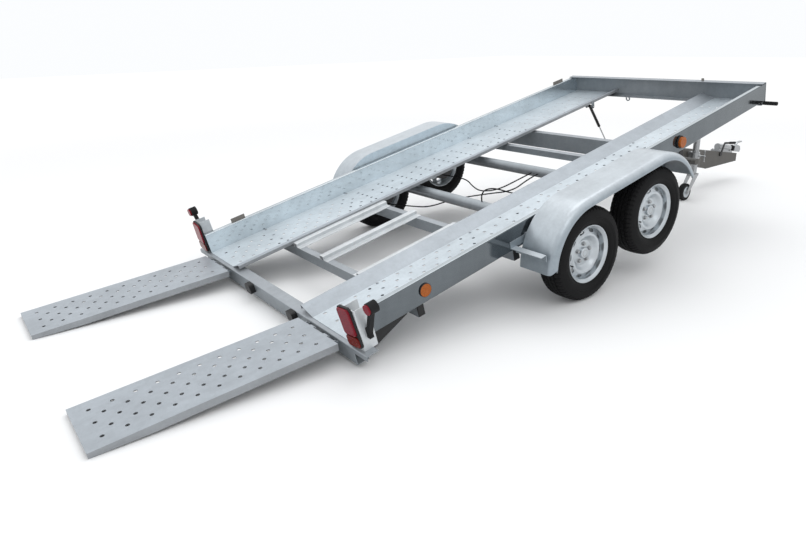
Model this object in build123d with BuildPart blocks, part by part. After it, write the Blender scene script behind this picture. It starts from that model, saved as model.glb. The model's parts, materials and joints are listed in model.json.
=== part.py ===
"""Car transport trailer with two axles, bed tilted back, ramps out. Millimetres, +X ahead, +Z up."""

import os
from math import asin, atan2, cos, degrees, hypot, radians, sin, tan

from build123d import *

os.makedirs("parts", exist_ok=True)

# Wheels and axles
TYRE_RADIUS = 295
TYRE_WIDTH = 185
RIM_RADIUS = 182
RIM_WIDTH = 140
AXLE_SPACING = 676
WHEEL_Y = 1092

# Bed, in its own frame, with the hubs where the axles hold them
BED_TILT = 12.5
AXLE_MIDDLE = 42
HUB_Z = 267
BED_REAR = -1840
BED_LENGTH = 4054
FLOOR_Z = 440
SHEET = 3
BEND = 5

# Wheel tracks: a sloped inner strip, a perforated floor and a raised rail along the outside
TRACK_INNER = 428
TRACK_WIDTH = 539
INNER_LIP = 26
INNER_RISE = 41
INNER_SLOPE = 118
RAIL_WIDTH = 33
RAIL_HEIGHT = 140
SKIRT_RETURN = 24
HOLE_RADIUS = 10
HOLE_ROW_SPACING = 63
HOLE_PITCH = 100
HOLE_FIRST = 65
DENSE_HOLES = 11
SPARSE_START = 1210
SPARSE_COLUMNS = 14

# Beams across the bed
BEAM_HALF = 950
BEAM_WALL = 4
FRONT_BEAM_HEIGHT = 169
FRONT_BEAM_DEPTH = 62
FRONT_BEAM_RISE = 8
REAR_BEAM_HALF = 1108
REAR_BEAM_DEPTH = 73
REAR_BEAM_HEIGHT = 104
REAR_BEAM_OVERHANG = 25
REAR_CHANNEL_HALF = 985
REAR_BEAM_LIP = 28

# Tilting drawbar, in the frame of the floor
HINGE_X = 1115
HINGE_Z = 345
HINGE_Y = 400
PIN_RADIUS = 14
NOSE_START = 2790
NOSE_TIP = 3600
NOSE_TOP = 292
NOSE_HALF = 64
ARM_WIDTH = 60
ARM_REAR_DEPTH = 70
KNEE_X = 2974
KNEE_Z = 205
NOSE_LOW = 208
ARM_LOW_SLOPE = 0.248
ARM_WALL = 5
LUG_GAP = 12

# Jockey wheel
JOCKEY_X = 2490
JOCKEY_Y = -200
JOCKEY_TRAIL = 125
JOCKEY_RADIUS = 82
JOCKEY_WIDTH = 52
JOCKEY_TUBE_RADIUS = 30
JOCKEY_TOP = 690

# Ramps, hooked over a bar behind the bed
RAMP_INNER = 488
RAMP_WIDTH = 416
RAMP_LENGTH = 1166
RAMP_PLATE = 4
RAMP_TOP = 24
RAMP_FLANGE = 38
RAMP_TIP = 26
RAMP_TAPER_START = 900
BAR_BACK = 22
BAR_DROP = 15
BAR_RADIUS = 8

# Clearances
PIN_GAP = 0.3
RUN_GAP = 6

# Values that follow from these
HUB_OFFSET = AXLE_SPACING / 2
BED_FRONT = BED_REAR + BED_LENGTH
TRACK_OUTER = TRACK_INNER + TRACK_WIDTH
FLOOR_UNDER = FLOOR_Z - SHEET / 2
RAIL_TOP = FLOOR_Z + RAIL_HEIGHT
rear_hub = AXLE_MIDDLE - HUB_OFFSET
BED_LIFT = TYRE_RADIUS - rear_hub * sin(radians(BED_TILT)) - HUB_Z * cos(radians(BED_TILT))
BED = Location((0, 0, BED_LIFT), (0, -BED_TILT, 0))
SIDES = {"left": 1, "right": -1}


def on_bed(plane):
    """A plane of the level bed, moved with the tilted bed."""
    return Plane(BED * plane.location)


def bed_point(x, y, z):
    """A point of the level bed, moved with the tilted bed."""
    lean = radians(BED_TILT)
    return (x * cos(lean) - z * sin(lean), y, x * sin(lean) + z * cos(lean) + BED_LIFT)


pieces = []


def keep(builder, name):
    """Labels a finished piece and keeps it until all are written."""
    builder.part.label = name
    pieces.append(builder.part)


# Wheel tracks: a perforated floor, a sloped edge along its inside and a rail along its outside
track_front = BED_FRONT - BEAM_WALL
track_middle = TRACK_INNER + TRACK_WIDTH / 2
floor_inner = TRACK_INNER + INNER_SLOPE
floor_outer = TRACK_OUTER - RAIL_WIDTH - SHEET / 2
edge_top = FLOOR_Z + INNER_RISE
edge_foot = FLOOR_UNDER + SHEET / 2 * hypot(INNER_SLOPE, INNER_RISE) / INNER_SLOPE
edge_drop = (edge_top - edge_foot) / INNER_SLOPE
for side_name, side in SIDES.items():
    with BuildPart() as track:
        with BuildSketch(on_bed(Plane.XY.offset(FLOOR_UNDER))):
            with Locations(((BED_REAR + track_front) / 2, side * (floor_inner + floor_outer) / 2)):
                Rectangle(track_front - BED_REAR, floor_outer - floor_inner)
            dense_middle = BED_REAR + HOLE_FIRST + HOLE_PITCH * (DENSE_HOLES - 1) / 2
            with Locations((dense_middle, side * track_middle)):
                with GridLocations(HOLE_PITCH, 2 * HOLE_ROW_SPACING, DENSE_HOLES, 3):
                    Circle(HOLE_RADIUS, mode=Mode.SUBTRACT)
            with Locations((dense_middle + HOLE_PITCH / 2, side * track_middle)):
                with GridLocations(HOLE_PITCH, 2 * HOLE_ROW_SPACING, DENSE_HOLES, 2):
                    Circle(HOLE_RADIUS, mode=Mode.SUBTRACT)
            sparse_middle = BED_REAR + SPARSE_START + HOLE_PITCH * (SPARSE_COLUMNS - 1)
            with Locations((sparse_middle, side * track_middle)):
                with GridLocations(2 * HOLE_PITCH, HOLE_ROW_SPACING, SPARSE_COLUMNS, 5):
                    Circle(HOLE_RADIUS, mode=Mode.SUBTRACT)
                with GridLocations(2 * HOLE_PITCH, 2 * HOLE_ROW_SPACING, SPARSE_COLUMNS - 1, 2):
                    Circle(HOLE_RADIUS, mode=Mode.SUBTRACT)
        extrude(amount=SHEET)
    keep(track, f"track_{side_name}")

    with BuildPart() as track_edge:
        with BuildSketch(on_bed(Plane.YZ.offset(BED_REAR))):
            with BuildLine():
                FilletPolyline(
                    (side * TRACK_INNER, edge_top - INNER_LIP),
                    (side * TRACK_INNER, edge_top),
                    (side * (floor_inner + INNER_LIP), edge_foot - edge_drop * INNER_LIP),
                    radius=BEND,
                )
            trace(line_width=SHEET)
            with Locations((side * (floor_inner + INNER_LIP), FLOOR_Z)):
                Rectangle(2 * INNER_LIP, 4 * INNER_RISE, mode=Mode.SUBTRACT)
        extrude(amount=track_front - BED_REAR)
    keep(track_edge, f"track_edge_{side_name}")

    with BuildPart() as side_rail:
        with BuildSketch(on_bed(Plane.YZ.offset(BED_REAR))):
            with BuildLine():
                FilletPolyline(
                    (side * (TRACK_OUTER - RAIL_WIDTH), FLOOR_UNDER),
                    (side * (TRACK_OUTER - RAIL_WIDTH), RAIL_TOP),
                    (side * TRACK_OUTER, RAIL_TOP),
                    (side * TRACK_OUTER, FLOOR_Z),
                    (side * (TRACK_OUTER - SKIRT_RETURN), FLOOR_Z),
                    radius=BEND,
                )
            trace(line_width=SHEET)
        extrude(amount=track_front - BED_REAR)
    keep(side_rail, f"side_rail_{side_name}")

# Crossbeams under the tracks: name, rear face, depth along x, height
CROSSBEAMS = [
    ("crossbeam_second", -1435, 45, 72),
    ("crossbeam_third", -706, 45, 80),
    ("crossbeam_middle", 662, 45, 50),
    ("crossbeam_hinge", 1008, 46, 134),
]
for name, rear, depth, height in CROSSBEAMS:
    with BuildPart() as beam:
        with BuildSketch(on_bed(Plane.XZ.offset(-BEAM_HALF))):
            with Locations((rear + depth / 2, FLOOR_UNDER - height / 2)):
                Rectangle(depth, height)
                Rectangle(depth - 2 * BEAM_WALL, height - 2 * BEAM_WALL, mode=Mode.SUBTRACT)
        extrude(amount=2 * BEAM_HALF)
        if name == "crossbeam_hinge":
            for lug_y in (-HINGE_Y, HINGE_Y):
                for cheek in (-1, 1):
                    with BuildSketch(on_bed(Plane.XZ.offset(-lug_y - cheek * (ARM_WIDTH / 2 + LUG_GAP)))):
                        with Locations((HINGE_X, HINGE_Z)):
                            Circle(2 * PIN_RADIUS)
                        with Locations(((rear + depth + HINGE_X) / 2, HINGE_Z)):
                            Rectangle(HINGE_X - rear - depth, 4 * PIN_RADIUS)
                    extrude(amount=-cheek * 8)
                with BuildSketch(on_bed(Plane.XZ.offset(-lug_y))):
                    with Locations((HINGE_X, HINGE_Z)):
                        Circle(PIN_RADIUS)
                extrude(amount=ARM_WIDTH / 2 + LUG_GAP + 14, both=True)
    keep(beam, name)

# Rear crossbeam: a channel open to the front, only an angle at its ends, with lugs and bars for the ramps
rear_beam_back = BED_REAR - REAR_BEAM_OVERHANG
rear_beam_front = rear_beam_back + REAR_BEAM_DEPTH
rear_beam_low = FLOOR_UNDER - REAR_BEAM_HEIGHT
bar_x = rear_beam_back - BAR_BACK
bar_z = FLOOR_Z - BAR_DROP
ramp_middle = RAMP_INNER + RAMP_WIDTH / 2
lug_reach = RAMP_WIDTH / 2 - 60
with BuildPart() as crossbeam_rear:
    with BuildSketch(on_bed(Plane.XZ.offset(-REAR_BEAM_HALF))):
        with BuildLine():
            FilletPolyline(
                (rear_beam_front, FLOOR_UNDER - BEAM_WALL / 2),
                (rear_beam_back + BEAM_WALL / 2, FLOOR_UNDER - BEAM_WALL / 2),
                (rear_beam_back + BEAM_WALL / 2, rear_beam_low + BEAM_WALL / 2),
                (rear_beam_front, rear_beam_low + BEAM_WALL / 2),
                radius=BEND,
            )
        trace(line_width=BEAM_WALL)
    extrude(amount=2 * REAR_BEAM_HALF)
    for side in SIDES.values():
        with BuildSketch(on_bed(Plane.XZ.offset(-side * REAR_CHANNEL_HALF))):
            with Locations(((rear_beam_back + rear_beam_front) / 2, rear_beam_low)):
                Rectangle(2 * REAR_BEAM_DEPTH, 2 * (REAR_BEAM_HEIGHT - REAR_BEAM_LIP))
        extrude(amount=-side * REAR_BEAM_HALF, mode=Mode.SUBTRACT)
        for reach in (-lug_reach, lug_reach):
            with BuildSketch(on_bed(Plane.XZ.offset(-side * ramp_middle - reach))):
                with Locations((bar_x, bar_z)):
                    Circle(BAR_RADIUS + 6)
                with Locations(((bar_x + rear_beam_back + BEAM_WALL) / 2, bar_z - BAR_RADIUS)):
                    Rectangle(BAR_BACK + BEAM_WALL, 2 * BAR_RADIUS)
            extrude(amount=4, both=True)
        with BuildSketch(on_bed(Plane.XZ.offset(-side * ramp_middle))):
            with Locations((bar_x, bar_z)):
                Circle(BAR_RADIUS)
        extrude(amount=lug_reach + 4, both=True)
keep(crossbeam_rear, "crossbeam_rear")

# Gussets between the rear crossbeam and the side rails
GUSSET_LENGTH = 290
GUSSET_SHEET = 6
with BuildPart() as rear_gussets:
    for side in SIDES.values():
        with BuildSketch(on_bed(Plane.XZ.offset(-side * (TRACK_OUTER - SKIRT_RETURN / 2)))):
            with BuildLine():
                Polyline(
                    (rear_beam_front, FLOOR_UNDER), (rear_beam_front + GUSSET_LENGTH, FLOOR_UNDER),
                    (rear_beam_front + GUSSET_LENGTH, FLOOR_UNDER - 8), (rear_beam_front, rear_beam_low),
                    close=True,
                )
            make_face()
        extrude(amount=GUSSET_SHEET / 2, both=True)
keep(rear_gussets, "rear_gussets")

# Lamps of the number plate, at the rear crossbeam's top edge
PLATE_LAMPS = [205, -362]
PLATE_LAMP_SIZE = (34, 72, 62)
with BuildPart() as plate_lamps:
    for plate_lamp_y in PLATE_LAMPS:
        with BuildSketch(on_bed(Plane.YZ.offset(rear_beam_back))):
            with Locations((plate_lamp_y, FLOOR_UNDER - PLATE_LAMP_SIZE[2] / 2)):
                RectangleRounded(PLATE_LAMP_SIZE[1], PLATE_LAMP_SIZE[2], 12)
        extrude(amount=-PLATE_LAMP_SIZE[0])
keep(plate_lamps, "plate_lamps")

# Front crossbeam, a channel open to the rear that the tracks run into
front_top = RAIL_TOP + FRONT_BEAM_RISE
with BuildPart() as crossbeam_front:
    with BuildSketch(on_bed(Plane.XZ.offset(-TRACK_OUTER - SHEET))):
        with BuildLine():
            FilletPolyline(
                (BED_FRONT - FRONT_BEAM_DEPTH, front_top),
                (BED_FRONT - BEAM_WALL / 2, front_top),
                (BED_FRONT - BEAM_WALL / 2, front_top - FRONT_BEAM_HEIGHT),
                (BED_FRONT - FRONT_BEAM_DEPTH, front_top - FRONT_BEAM_HEIGHT),
                radius=BEND,
            )
        trace(line_width=BEAM_WALL)
    extrude(amount=2 * (TRACK_OUTER + SHEET))
keep(crossbeam_front, "crossbeam_front")

# Tie ring under the front crossbeam
TIE_RING_Y = 304
TIE_RING_RADIUS = 22
front_low = front_top - FRONT_BEAM_HEIGHT - BEAM_WALL / 2
with BuildPart() as tie_ring:
    with BuildSketch(on_bed(Plane.YZ.offset(BED_FRONT - FRONT_BEAM_DEPTH / 2))):
        with Locations((TIE_RING_Y, front_low - TIE_RING_RADIUS)):
            Circle(TIE_RING_RADIUS)
        with Locations((TIE_RING_Y, front_low - TIE_RING_RADIUS / 4)):
            Rectangle(TIE_RING_RADIUS, TIE_RING_RADIUS / 2)
        with Locations((TIE_RING_Y, front_low - TIE_RING_RADIUS)):
            Circle(TIE_RING_RADIUS - 9, mode=Mode.SUBTRACT)
    extrude(amount=4, both=True)
keep(tie_ring, "tie_ring")

# Tabs that stand on the left rail: middle along x, length
RAIL_TABS = [(-1572, 107), (1954, 140)]
TAB_HEIGHT = 30
with BuildPart() as rail_tabs:
    for tab_x, tab_length in RAIL_TABS:
        with BuildSketch(on_bed(Plane.XZ.offset(-TRACK_OUTER + RAIL_WIDTH / 2))):
            with Locations((tab_x, RAIL_TOP + (SHEET + TAB_HEIGHT) / 2)):
                Rectangle(tab_length, TAB_HEIGHT)
        extrude(amount=2, both=True)
keep(rail_tabs, "rail_tabs")

# Rails between the second and third crossbeams: y of the upper strip, ledge to the left, to the right
rail_rear = CROSSBEAMS[0][1]
rail_front = CROSSBEAMS[1][1] + CROSSBEAMS[1][2]
RAIL_STRIP = 44
RAIL_LEDGE = 48
RAIL_RISE = 26
RAIL_FOOT = 12
RAMP_RAILS = [(402, 0, 1), (40, 0, 1), (-402, 1, 0)]
with BuildPart() as ramp_rails:
    for strip_y, ledge_left, ledge_right in RAMP_RAILS:
        high = FLOOR_Z + RAIL_RISE
        left_y = strip_y + RAIL_STRIP / 2
        right_y = strip_y - RAIL_STRIP / 2
        foot_left = left_y + RAIL_LEDGE if ledge_left else left_y - RAIL_FOOT
        foot_right = right_y - RAIL_LEDGE if ledge_right else right_y + RAIL_FOOT
        with BuildSketch(on_bed(Plane.YZ.offset(rail_rear))):
            with BuildLine():
                FilletPolyline(
                    (foot_left, FLOOR_Z), (left_y, FLOOR_Z), (left_y, high),
                    (right_y, high), (right_y, FLOOR_Z), (foot_right, FLOOR_Z),
                    radius=BEND,
                )
            trace(line_width=SHEET)
        extrude(amount=rail_front - rail_rear)
keep(ramp_rails, "ramp_rails")

# Axles: a tube, two trailing arms, drums and stub shafts
TUBE_AHEAD = 48
TUBE_Z = 368
TUBE_RADIUS = 40
ARM_THICK = 26
ARM_Y = 975
DRUM_RADIUS = 108
DRUM_START = 992
DRUM_END = 1056
STUB_RADIUS = 17
arm_angle = degrees(atan2(TUBE_Z - HUB_Z, TUBE_AHEAD))
arm_length = hypot(TUBE_AHEAD, TUBE_Z - HUB_Z)
AXLES = {"axle_rear": rear_hub, "axle_front": rear_hub + AXLE_SPACING}
for name, hub_x in AXLES.items():
    with BuildPart() as axle:
        with BuildSketch(on_bed(Plane.XZ.offset(-ARM_Y))):
            with Locations((hub_x + TUBE_AHEAD, TUBE_Z)):
                Circle(TUBE_RADIUS)
        extrude(amount=2 * ARM_Y)
        for side in SIDES.values():
            with BuildSketch(on_bed(Plane.XZ.offset(-side * ARM_Y))):
                with Locations((hub_x + TUBE_AHEAD, TUBE_Z)):
                    Circle(TUBE_RADIUS + 8)
                with Locations((hub_x, HUB_Z)):
                    Circle(TUBE_RADIUS)
                with Locations((hub_x + TUBE_AHEAD / 2, (TUBE_Z + HUB_Z) / 2)):
                    Rectangle(arm_length, 1.7 * TUBE_RADIUS, rotation=arm_angle)
            extrude(amount=ARM_THICK / 2, both=True)
            with BuildSketch(on_bed(Plane.XZ.offset(-side * ARM_Y))):
                with Locations((hub_x, HUB_Z)):
                    Circle(STUB_RADIUS)
            extrude(amount=-side * (WHEEL_Y + 30 - ARM_Y))
            with BuildSketch(on_bed(Plane.XZ.offset(-side * DRUM_START))):
                with Locations((hub_x, HUB_Z)):
                    Circle(DRUM_RADIUS)
            extrude(amount=-side * (DRUM_END - DRUM_START))
            bracket_x = hub_x + TUBE_AHEAD
            with BuildSketch(on_bed(Plane.XZ.offset(-side * (TRACK_OUTER - RAIL_WIDTH)))):
                with Locations((bracket_x, (TUBE_Z + FLOOR_UNDER) / 2)):
                    Rectangle(3 * TUBE_RADIUS, FLOOR_UNDER - TUBE_Z)
            extrude(amount=4, both=True)
    keep(axle, name)

# Brake cables, from a drum or an axle tube to a tube: corners of each
CABLE_RADIUS = 5
drum_low = HUB_Z - 40
rear_tube = rear_hub + TUBE_AHEAD
tube_rear = rear_tube + AXLE_SPACING - TUBE_RADIUS - PIN_GAP
tube_over = TUBE_Z + TUBE_RADIUS + PIN_GAP
CABLES = [
    [
        (-366, DRUM_START, drum_low), (-366, 900, drum_low), (-310, 560, 245), (-262, 420, 248),
        (-86, 330, 262), (112, 146, 262), (230, -20, 268), (285, -150, TUBE_Z), (tube_rear, -150, TUBE_Z),
    ],
    [
        (310, DRUM_START, drum_low), (310, 900, drum_low), (300, 600, 245), (190, 400, 250),
        (140, 250, 252), (190, 100, 272), (275, -85, TUBE_Z), (tube_rear, -85, TUBE_Z),
    ],
    [
        (310, -DRUM_START, drum_low), (310, -900, drum_low), (200, -480, 300), (60, -205, 345),
        (-110, -180, 400), (rear_tube, -205, 475), (rear_tube, -205, tube_over),
    ],
]


def cable_bends(corners):
    """The radii of a cable's arcs, each as large as the runs beside its corner allow."""
    bends = []
    for before, corner, after in zip(corners, corners[1:], corners[2:]):
        run_in = Vector(*corner) - Vector(*before)
        run_out = Vector(*after) - Vector(*corner)
        half_turn = radians(run_in.get_angle(run_out)) / 2
        bends.append(0.45 * min(run_in.length, run_out.length) / tan(half_turn))
    return bends


with BuildPart() as brake_cables:
    for corners in CABLES:
        with BuildLine(on_bed(Plane.XY)) as route:
            FilletPolyline(*corners, radius=cable_bends(corners))
        with BuildSketch(Plane(origin=route.line @ 0, z_dir=route.line % 0)):
            Circle(CABLE_RADIUS)
        sweep(path=route.line)
keep(brake_cables, "brake_cables")

# Wheels: tyre and rim
tyre_inner = RIM_RADIUS - 16
bore = STUB_RADIUS + PIN_GAP
half = TYRE_WIDTH / 2
seat = RIM_WIDTH / 2
bead = RIM_RADIUS + PIN_GAP
shoulder = TYRE_RADIUS - 16
barrel = tyre_inner - 6
SLOTS = 10
SLOT_RING = 143
for axle_name, hub_x in AXLES.items():
    for side_name, side in SIDES.items():
        hub = bed_point(hub_x, side * WHEEL_Y, HUB_Z)
        wheel_plane = Plane(origin=hub, x_dir=(1, 0, 0), z_dir=(0, 0, side))
        face_plane = Plane(origin=hub, x_dir=(1, 0, 0), z_dir=(0, side, 0))
        wheel_axis = Axis(hub, (0, 1, 0))
        with BuildPart() as tyre:
            with BuildSketch(wheel_plane):
                with BuildLine():
                    Polyline(
                        (TYRE_RADIUS - 4, -half * 0.66), (TYRE_RADIUS, -half * 0.4),
                        (TYRE_RADIUS, half * 0.4), (TYRE_RADIUS - 4, half * 0.66), (shoulder, half * 0.84),
                    )
                    ThreePointArc((shoulder, half * 0.84), (TYRE_RADIUS - 60, half), (bead, seat))
                    Polyline((bead, seat), (tyre_inner, seat - 14), (tyre_inner, -seat + 14), (bead, -seat))
                    ThreePointArc((bead, -seat), (TYRE_RADIUS - 60, -half), (shoulder, -half * 0.84))
                    Line((shoulder, -half * 0.84), (TYRE_RADIUS - 4, -half * 0.66))
                make_face()
            revolve(axis=wheel_axis)
        place = axle_name.removeprefix("axle_")
        keep(tyre, f"tyre_{place}_{side_name}")
        with BuildPart() as rim:
            with BuildSketch(wheel_plane):
                with BuildLine():
                    Polyline(
                        (RIM_RADIUS - 2, seat + 2), (RIM_RADIUS - 2, seat - 1),
                        (tyre_inner - PIN_GAP, seat - 12), (tyre_inner - PIN_GAP, -seat + 12),
                        (RIM_RADIUS - 2, -seat + 1), (RIM_RADIUS - 2, -seat - 2),
                        (RIM_RADIUS - 6, -seat - 2), (barrel, -seat + 12),
                        (barrel, 20), (128, 36), (110, 38), (80, 12), (60, 10), (60, -26),
                        (bore, -26), (bore, 36), (0, 36), (0, 42), (30, 42), (34, 38), (34, 24), (78, 22),
                        (90, 30), (106, 46), (112, 50), (124, 50), (130, 46), (barrel, 32),
                        (barrel, seat - 12), (RIM_RADIUS - 6, seat + 2),
                        close=True,
                    )
                make_face()
            revolve(axis=wheel_axis)
            with BuildSketch(face_plane):
                with PolarLocations(SLOT_RING, SLOTS):
                    SlotOverall(46, 22, rotation=90)
            extrude(amount=RIM_WIDTH / 2, mode=Mode.SUBTRACT)
        keep(rim, f"rim_{place}_{side_name}")

# Mudguards over both wheels of a side
GUARD_GAP = 18
GUARD_INNER = TRACK_OUTER + SHEET / 2 + GUARD_GAP
GUARD_OUTER = 1230
GUARD_TOP = 649
GUARD_RADIUS = 388
GUARD_REAR = -318
GUARD_FRONT = 398
GUARD_LOW_REAR = 328
GUARD_LOW_FRONT = 383
GUARD_SHEET = 3
GUARD_LIP = 46
GUARD_WALL = 150
GUARD_CORNER = 34
SHOULDER = 44


def guard_outline(inset):
    """The side view of a mudguard, set in by an amount, as a face on the XY plane."""
    radius = GUARD_RADIUS - inset
    top = GUARD_TOP - inset
    middle = GUARD_TOP - GUARD_RADIUS
    with BuildSketch() as outline:
        with BuildLine():
            Line((GUARD_REAR, top), (GUARD_FRONT, top))
            CenterArc((GUARD_FRONT, middle), radius, 0, 90)
            Line((GUARD_FRONT + radius, middle), (GUARD_FRONT + radius, 0))
            Line((GUARD_FRONT + radius, 0), (GUARD_REAR - radius, 0))
            Line((GUARD_REAR - radius, 0), (GUARD_REAR - radius, middle))
            CenterArc((GUARD_REAR, middle), radius, 90, 90)
        make_face()
    return outline.sketch


guard_skin = guard_outline(0)
guard_hollow = guard_outline(GUARD_SHEET)
guard_lip = guard_outline(GUARD_LIP)
guard_wall = guard_outline(GUARD_WALL)
for side_name, side in SIDES.items():
    outer_plane = on_bed(Plane.XZ.offset(-side * GUARD_OUTER))
    with BuildPart() as guard_core:
        with BuildSketch(on_bed(Plane.XZ.offset(-side * (GUARD_OUTER - GUARD_SHEET)))):
            add(guard_hollow)
        extrude(amount=side * (GUARD_OUTER - GUARD_INNER - 2 * GUARD_SHEET))
        core_face = guard_core.faces().sort_by(Axis.Y)[-1 if side > 0 else 0]
        fillet(core_face.edges().filter_by_position(Axis.Z, 300, 2000), radius=SHOULDER - GUARD_SHEET)
    with BuildPart() as mudguard:
        with BuildSketch(outer_plane):
            add(guard_skin)
        extrude(amount=side * (GUARD_OUTER - GUARD_INNER))
        outer_face = mudguard.faces().sort_by(Axis.Y)[-1 if side > 0 else 0]
        fillet(outer_face.edges().filter_by_position(Axis.Z, 300, 2000), radius=SHOULDER)
        add(guard_core.part, mode=Mode.SUBTRACT)
        with BuildSketch(outer_plane):
            add(guard_lip)
        extrude(amount=side * 60, mode=Mode.SUBTRACT)
        with BuildSketch(outer_plane):
            add(guard_wall)
        extrude(amount=side * 400, mode=Mode.SUBTRACT)
        with BuildSketch(outer_plane):
            with Locations((GUARD_REAR - GUARD_RADIUS, GUARD_LOW_REAR / 2 - 200)):
                Rectangle(2 * GUARD_RADIUS, GUARD_LOW_REAR + 400)
            with Locations((GUARD_FRONT + GUARD_RADIUS, GUARD_LOW_FRONT / 2 - 200)):
                Rectangle(2 * GUARD_RADIUS, GUARD_LOW_FRONT + 400)
        extrude(amount=side * 400, mode=Mode.SUBTRACT)
        with BuildSketch(on_bed(Plane.YZ.offset(GUARD_REAR - GUARD_RADIUS - GUARD_CORNER))):
            with Locations((side * GUARD_OUTER, GUARD_LOW_REAR)):
                Rectangle(2 * GUARD_CORNER, 2 * GUARD_CORNER)
            with Locations((side * (GUARD_OUTER - GUARD_CORNER), GUARD_LOW_REAR + GUARD_CORNER)):
                Circle(GUARD_CORNER + GUARD_SHEET, mode=Mode.SUBTRACT)
        extrude(amount=4 * GUARD_CORNER, mode=Mode.SUBTRACT)
    keep(mudguard, f"mudguard_{side_name}")

# Brackets that hold the mudguards off the side rails, the rear ones with an angle across behind
BLOCK_LENGTH = 60
BLOCK_LOW = 456
BLOCK_HEIGHT = 50
GUARD_BLOCKS = [-585, 655]
ANGLE_LEG = 42
ANGLE_X = -738
ANGLE_OUTER = 1202
rail_face = TRACK_OUTER + SHEET / 2
with BuildPart() as guard_brackets:
    for side in SIDES.values():
        for block_x in GUARD_BLOCKS:
            with BuildSketch(on_bed(Plane.XZ.offset(-side * rail_face))):
                with Locations((block_x, BLOCK_LOW + BLOCK_HEIGHT / 2)):
                    Rectangle(BLOCK_LENGTH, BLOCK_HEIGHT)
            extrude(amount=-side * GUARD_GAP)
        with BuildSketch(on_bed(Plane.XZ.offset(-side * rail_face))):
            with Locations(((ANGLE_X + GUARD_BLOCKS[0]) / 2, BLOCK_LOW + ANGLE_LEG / 2)):
                Rectangle(GUARD_BLOCKS[0] - ANGLE_X, ANGLE_LEG)
        extrude(amount=-side * BEAM_WALL)
        with BuildSketch(on_bed(Plane.XZ.offset(-side * rail_face))):
            with BuildLine():
                Polyline(
                    (ANGLE_X, BLOCK_LOW + BEAM_WALL), (ANGLE_X + ANGLE_LEG, BLOCK_LOW + BEAM_WALL),
                    (ANGLE_X + ANGLE_LEG, BLOCK_LOW - ANGLE_LEG + BEAM_WALL),
                    (ANGLE_X + ANGLE_LEG - BEAM_WALL, BLOCK_LOW - ANGLE_LEG + BEAM_WALL),
                    (ANGLE_X + ANGLE_LEG - BEAM_WALL, BLOCK_LOW), (ANGLE_X, BLOCK_LOW),
                    close=True,
                )
            make_face()
        extrude(amount=-side * (ANGLE_OUTER - rail_face))
keep(guard_brackets, "guard_brackets")

# Rear lamps, on upright channels that stand on the rear crossbeam
LAMP_FOOT_Y = 1014
LAMP_LEAN = 8
LAMP_WIDTH = 124
LAMP_LOW = FLOOR_UNDER + 14
LAMP_HEIGHT = 222
LAMP_SET_IN = 22
LAMP_DEPTH = 12
LENS_DEPTH = 10
LENS_RIM = 7
INDICATOR_HEIGHT = 56
BRACKET_GAP = 4
BRACKET_OUTER = 1064
BRACKET_DEPTH = 80
BRACKET_HEIGHT = 228
bracket_inner = rail_face + BRACKET_GAP
lamp_front = rear_beam_back + LAMP_SET_IN
lens_front = lamp_front - LAMP_DEPTH
lens_width = LAMP_WIDTH - 2 * LENS_RIM
lens_height = LAMP_HEIGHT - INDICATOR_HEIGHT - 3 * LENS_RIM
with BuildPart() as lamp_brackets:
    for side in SIDES.values():
        with BuildSketch(on_bed(Plane.XY.offset(FLOOR_UNDER))):
            with BuildLine():
                FilletPolyline(
                    (lamp_front + BRACKET_DEPTH, side * (bracket_inner + BEAM_WALL / 2)),
                    (lamp_front + BEAM_WALL / 2, side * (bracket_inner + BEAM_WALL / 2)),
                    (lamp_front + BEAM_WALL / 2, side * (BRACKET_OUTER - BEAM_WALL / 2)),
                    (lamp_front + BRACKET_DEPTH, side * (BRACKET_OUTER - BEAM_WALL / 2)),
                    radius=BEND,
                )
            trace(line_width=BEAM_WALL)
        extrude(amount=BRACKET_HEIGHT)
keep(lamp_brackets, "lamp_brackets")



def on_lamp(x, side):
    """A plane across the bed that leans in with a rear lamp, from the middle of the lamp's foot."""
    lean = radians(LAMP_LEAN)
    foot = (x, side * LAMP_FOOT_Y, LAMP_LOW)
    return on_bed(Plane(origin=foot, x_dir=(0, cos(lean), side * sin(lean)), z_dir=(1, 0, 0)))


for side_name, side in SIDES.items():
    with BuildPart() as lamp_housing:
        with BuildSketch(on_lamp(lamp_front, side)):
            with Locations((0, LAMP_HEIGHT / 2)):
                RectangleRounded(LAMP_WIDTH, LAMP_HEIGHT, 24)
        extrude(amount=-LAMP_DEPTH)
    keep(lamp_housing, f"lamp_housing_{side_name}")
    with BuildPart() as lamp_lens:
        with BuildSketch(on_lamp(lens_front, side)):
            with Locations((0, LAMP_HEIGHT - LENS_RIM - lens_height / 2)):
                RectangleRounded(lens_width, lens_height, 18)
        extrude(amount=-LENS_DEPTH)
        lens_faces = lamp_lens.faces().filter_by(on_bed(Plane.YZ)).sort_by(Axis.X)
        fillet(lens_faces[0].edges(), radius=5)
    keep(lamp_lens, f"lamp_lens_{side_name}")

with BuildPart() as lamp_indicators:
    for side in SIDES.values():
        with BuildSketch(on_lamp(lens_front, side)):
            with Locations((0, LENS_RIM + INDICATOR_HEIGHT / 2)):
                RectangleRounded(lens_width, INDICATOR_HEIGHT, 16)
        extrude(amount=-LENS_DEPTH + 2)
keep(lamp_indicators, "lamp_indicators")

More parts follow.
